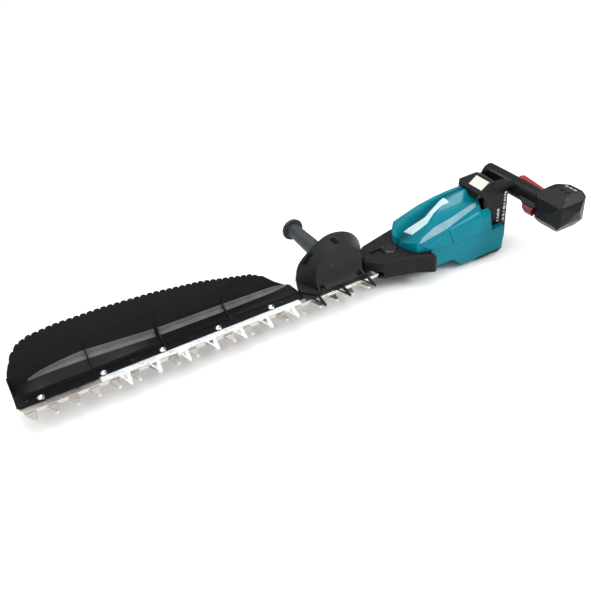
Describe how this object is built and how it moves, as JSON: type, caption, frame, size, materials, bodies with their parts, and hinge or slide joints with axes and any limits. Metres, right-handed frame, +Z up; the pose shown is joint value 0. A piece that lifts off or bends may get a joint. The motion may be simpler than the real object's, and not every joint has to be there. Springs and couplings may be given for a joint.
{
  "type": "hedge trimmer",
  "caption": "Battery hedge trimmer: long single-sided shear with a chip receiver, a guarded stick front handle and a lateral rear handle with a control pod.",
  "frame": {"origin": "bottom centre of the whole tool's box, below the blade, with the shear's plane horizontal", "axes": "+X along the blade to its tip, +Y toward the cutting teeth, +Z up from the shear to the receiver's top edge"},
  "size_m": [1.058, 0.338, 0.173],
  "materials": {
    "bar_steel": "ground flat steel, slightly warm",
    "blade_steel": "hardened shear steel",
    "zinc_plate": "bright bluish zinc plating",
    "black_steel": "blackened steel",
    "chrome_steel": "bright domed bolts",
    "receiver_plastic": "glossy black, soft sheen on the lower face",
    "guard_plastic": "fine textured black plastic",
    "grip_rubber": "dark grey rubber",
    "case_plastic": "dark grey satin",
    "gloss_black": "glossy black",
    "felt": "grey felt",
    "gear_steel": "machined steel",
    "magnet": "nickelled magnet ring",
    "copper": "enamelled copper wire",
    "frame_alloy": "cast alloy",
    "teal_plastic": "glossy teal",
    "pale_plate": "pale cream plate",
    "battery_plastic": "black pack case",
    "cell": "wrapped cylindrical cells",
    "dark_red": "dark red",
    "bright_red": "bright red",
    "lamp_green": "clear lamp windows"
  },
  "bodies": {
    "trimmer": {"guide_bar": "bar_steel", "guard_comb": "zinc_plate", "front_guard_comb": "black_steel", "blade_bolts": "chrome_steel", "blade_washers": "zinc_plate", "blade_nuts": "chrome_steel", "chip_receiver": "receiver_plastic", "tray_screws": "black_steel", "hand_guard": "guard_plastic", "guard_bolts": "black_steel", "front_handle_core": "bar_steel", "front_handle_grip": "grip_rubber", "front_handle_bolt": "black_steel", "gear_case_lower": "case_plastic", "gear_case_upper": "case_plastic", "gear_case_screws": "black_steel", "case_cap": "gloss_black", "blade_seal": "felt", "idler_pin": "bar_steel", "crank_bearing": "gear_steel", "motor_stator": "gear_steel", "motor_windings": "copper", "motor_bearings": "gear_steel", "motor_frame": "frame_alloy", "housing_near": "teal_plastic", "housing_far": "teal_plastic", "housing_screws": "black_steel", "controller": "guard_plastic", "terminal_block": "gloss_black", "rubber_feet": "grip_rubber", "rear_cap": "guard_plastic", "cap_plate": "pale_plate", "handle_upper": "guard_plastic", "handle_lower": "guard_plastic", "handle_switch": "gloss_black", "handle_carrier": "gloss_black", "pod_front": "guard_plastic", "pod_rear": "guard_plastic", "control_panel": "gloss_black", "status_lamps": "lamp_green", "pod_screws": "black_steel"},
    "upper_blade": {"upper_shear_blade": "blade_steel"},
    "lower_blade": {"lower_shear_blade": "blade_steel"},
    "crank": {"crank_gear": "gear_steel"},
    "idler": {"idler_gear": "gear_steel"},
    "rotor": {"motor_shaft": "gear_steel", "motor_rotor": "magnet", "cooling_fan": "gloss_black"},
    "trigger_part": {"trigger": "dark_red"},
    "lock_off_part": {"lock_off_lever": "bright_red"},
    "battery": {"battery_case": "battery_plastic", "battery_cells": "cell"},
    "latch_part": {"battery_latch": "battery_plastic"},
    "power_part": {"power_button": "gloss_black"},
    "mode_part": {"mode_button": "gloss_black"}
  },
  "joints": [
    {"name": "upper_blade_slide", "type": "slide", "parent": "trimmer", "child": "upper_blade", "axis": [1, 0, 0], "range_m": [-0.0075, 0.0075]},
    {"name": "lower_blade_slide", "type": "slide", "parent": "trimmer", "child": "lower_blade", "axis": [1, 0, 0], "range_m": [-0.0075, 0.0075]},
    {"name": "crank_spin", "type": "hinge", "parent": "trimmer", "child": "crank", "pos_m": [-0.204, -0.015, 0.0555], "axis": [0, 0, 1], "continuous": true},
    {"name": "idler_spin", "type": "hinge", "parent": "trimmer", "child": "idler", "pos_m": [-0.2625, -0.015, 0.0555], "axis": [0, 0, 1], "continuous": true},
    {"name": "motor_spin", "type": "hinge", "parent": "trimmer", "child": "rotor", "pos_m": [-0.3, -0.015, 0.0555], "axis": [0, 0, 1], "continuous": true},
    {"name": "trigger_pull", "type": "slide", "parent": "trimmer", "child": "trigger_part", "axis": [-0.8599, 0, 0.5105], "range_m": [0, 0.005], "stiffness_N_per_m": 600, "springref_m": -0.004},
    {"name": "lock_off_press", "type": "slide", "parent": "trimmer", "child": "lock_off_part", "axis": [0.8599, 0, -0.5105], "range_m": [0, 0.0035], "stiffness_N_per_m": 800, "springref_m": -0.003},
    {"name": "battery_slide", "type": "slide", "parent": "trimmer", "child": "battery", "axis": [0, 0, -1], "range_m": [0, 0.118]},
    {"name": "latch_press", "type": "slide", "parent": "battery", "child": "latch_part", "axis": [1, 0, 0], "range_m": [0, 0.002], "stiffness_N_per_m": 900, "springref_m": -0.002},
    {"name": "power_press", "type": "slide", "parent": "trimmer", "child": "power_part", "axis": [0, 0, -1], "range_m": [0, 0.0012], "stiffness_N_per_m": 1000, "springref_m": -0.0006},
    {"name": "mode_press", "type": "slide", "parent": "trimmer", "child": "mode_part", "axis": [0, 0, -1], "range_m": [0, 0.0012], "stiffness_N_per_m": 1000, "springref_m": -0.0006}
  ],
  "couplings": [
    {"joint": "lower_blade_slide", "follows": "upper_blade_slide", "ratio": -1},
    {"joint": "idler_spin", "follows": "crank_spin", "ratio": -0.95},
    {"joint": "motor_spin", "follows": "crank_spin", "ratio": 3.8}
  ]
}
